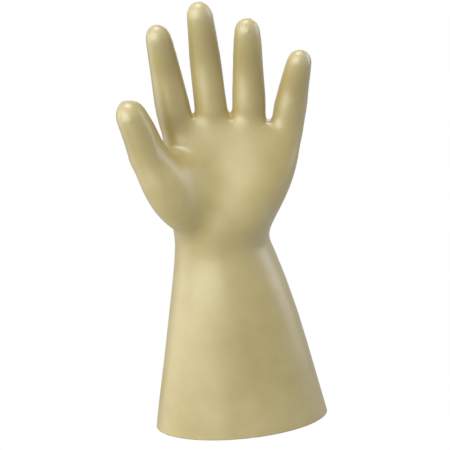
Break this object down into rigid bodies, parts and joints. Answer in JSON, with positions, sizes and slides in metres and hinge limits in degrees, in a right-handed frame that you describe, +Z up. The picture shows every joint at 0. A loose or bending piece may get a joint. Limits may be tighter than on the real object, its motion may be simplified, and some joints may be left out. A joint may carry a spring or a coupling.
{
  "type": "electrical insulating glove",
  "caption": "Left insulating rubber glove with a flared gauntlet, hollow, bending at the wrist, fingers and thumb.",
  "frame": {"origin": "on the plane of the cut cuff rim, below the middle of the outline", "axes": "+Z up the cuff towards the fingertips, the palm faces -Y, the thumb is at -X"},
  "size_m": [0.1511, 0.1039, 0.3531],
  "materials": {
    "cuff_rubber": "satin, pale natural latex",
    "hand_rubber": "satin, pale natural latex",
    "finger_rubber": "satin, pale natural latex",
    "fingertip_rubber": "satin, slightly brighter latex"
  },
  "bodies": {
    "cuff": {"cuff": "cuff_rubber"},
    "palm": {"palm": "hand_rubber"},
    "index_proximal": {"index_proximal": "finger_rubber"},
    "index_middle": {"index_middle": "finger_rubber"},
    "index_distal": {"index_distal": "fingertip_rubber"},
    "middle_proximal": {"middle_proximal": "finger_rubber"},
    "middle_middle": {"middle_middle": "finger_rubber"},
    "middle_distal": {"middle_distal": "fingertip_rubber"},
    "ring_proximal": {"ring_proximal": "finger_rubber"},
    "ring_middle": {"ring_middle": "finger_rubber"},
    "ring_distal": {"ring_distal": "fingertip_rubber"},
    "little_proximal": {"little_proximal": "finger_rubber"},
    "little_middle": {"little_middle": "finger_rubber"},
    "little_distal": {"little_distal": "fingertip_rubber"},
    "thumb_proximal": {"thumb_proximal": "finger_rubber"},
    "thumb_distal": {"thumb_distal": "fingertip_rubber"}
  },
  "joints": [
    {"name": "wrist_bend", "type": "hinge", "parent": "cuff", "child": "palm", "pos_m": [-0.0052, 0.0061, 0.155], "axis": [1, 0, 0], "range_deg": [-25, 30], "stiffness_Nm_per_rad": 1.6},
    {"name": "index_mcp", "type": "hinge", "parent": "palm", "child": "index_proximal", "pos_m": [-0.03405, -0.00516, 0.27494], "axis": [0.9965, 0, 0.0837], "range_deg": [-14, 55], "stiffness_Nm_per_rad": 0.12},
    {"name": "index_pip", "type": "hinge", "parent": "index_proximal", "child": "index_middle", "pos_m": [-0.03583, -0.00875, 0.29608], "axis": [0.9965, 0, 0.0837], "range_deg": [-8, 65], "stiffness_Nm_per_rad": 0.06},
    {"name": "index_dip", "type": "hinge", "parent": "index_middle", "child": "index_distal", "pos_m": [-0.03745, -0.01538, 0.31541], "axis": [0.9965, 0, 0.0837], "range_deg": [-6, 40], "stiffness_Nm_per_rad": 0.03},
    {"name": "middle_mcp", "type": "hinge", "parent": "palm", "child": "middle_proximal", "pos_m": [-0.00419, -0.00438, 0.27508], "axis": [0.9998, 0, 0.0209], "range_deg": [-12, 55], "stiffness_Nm_per_rad": 0.12},
    {"name": "middle_pip", "type": "hinge", "parent": "middle_proximal", "child": "middle_middle", "pos_m": [-0.00477, -0.0079, 0.30286], "axis": [0.9998, 0, 0.0209], "range_deg": [-8, 65], "stiffness_Nm_per_rad": 0.06},
    {"name": "middle_dip", "type": "hinge", "parent": "middle_middle", "child": "middle_distal", "pos_m": [-0.00529, -0.01556, 0.32771], "axis": [0.9998, 0, 0.0209], "range_deg": [-6, 40], "stiffness_Nm_per_rad": 0.03},
    {"name": "ring_mcp", "type": "hinge", "parent": "palm", "child": "ring_proximal", "pos_m": [0.02607, -0.00515, 0.27187], "axis": [0.9986, 0, -0.0523], "range_deg": [-14, 55], "stiffness_Nm_per_rad": 0.12},
    {"name": "ring_pip", "type": "hinge", "parent": "ring_proximal", "child": "ring_middle", "pos_m": [0.02725, -0.00934, 0.29447], "axis": [0.9986, 0, -0.0523], "range_deg": [-8, 65], "stiffness_Nm_per_rad": 0.06},
    {"name": "ring_dip", "type": "hinge", "parent": "ring_middle", "child": "ring_distal", "pos_m": [0.02833, -0.01721, 0.31499], "axis": [0.9986, 0, -0.0523], "range_deg": [-6, 40], "stiffness_Nm_per_rad": 0.03},
    {"name": "little_mcp", "type": "hinge", "parent": "palm", "child": "little_proximal", "pos_m": [0.05748, -0.00669, 0.26104], "axis": [0.9744, 0, -0.225], "range_deg": [-14, 50], "stiffness_Nm_per_rad": 0.12},
    {"name": "little_pip", "type": "hinge", "parent": "little_proximal", "child": "little_middle", "pos_m": [0.06114, -0.01086, 0.2769], "axis": [0.9744, 0, -0.225], "range_deg": [-8, 60], "stiffness_Nm_per_rad": 0.06},
    {"name": "little_dip", "type": "hinge", "parent": "little_middle", "child": "little_distal", "pos_m": [0.06437, -0.01742, 0.29091], "axis": [0.9744, 0, -0.225], "range_deg": [-6, 40], "stiffness_Nm_per_rad": 0.03},
    {"name": "thumb_mcp", "type": "hinge", "parent": "palm", "child": "thumb_proximal", "pos_m": [-0.05049, -0.03301, 0.24072], "axis": [-0.5703, -0.7413, -0.3539], "range_deg": [-25, 8], "stiffness_Nm_per_rad": 0.12},
    {"name": "thumb_ip", "type": "hinge", "parent": "thumb_proximal", "child": "thumb_distal", "pos_m": [-0.05484, -0.03792, 0.25802], "axis": [-0.5703, -0.7413, -0.3539], "range_deg": [-45, 8], "stiffness_Nm_per_rad": 0.06}
  ]
}
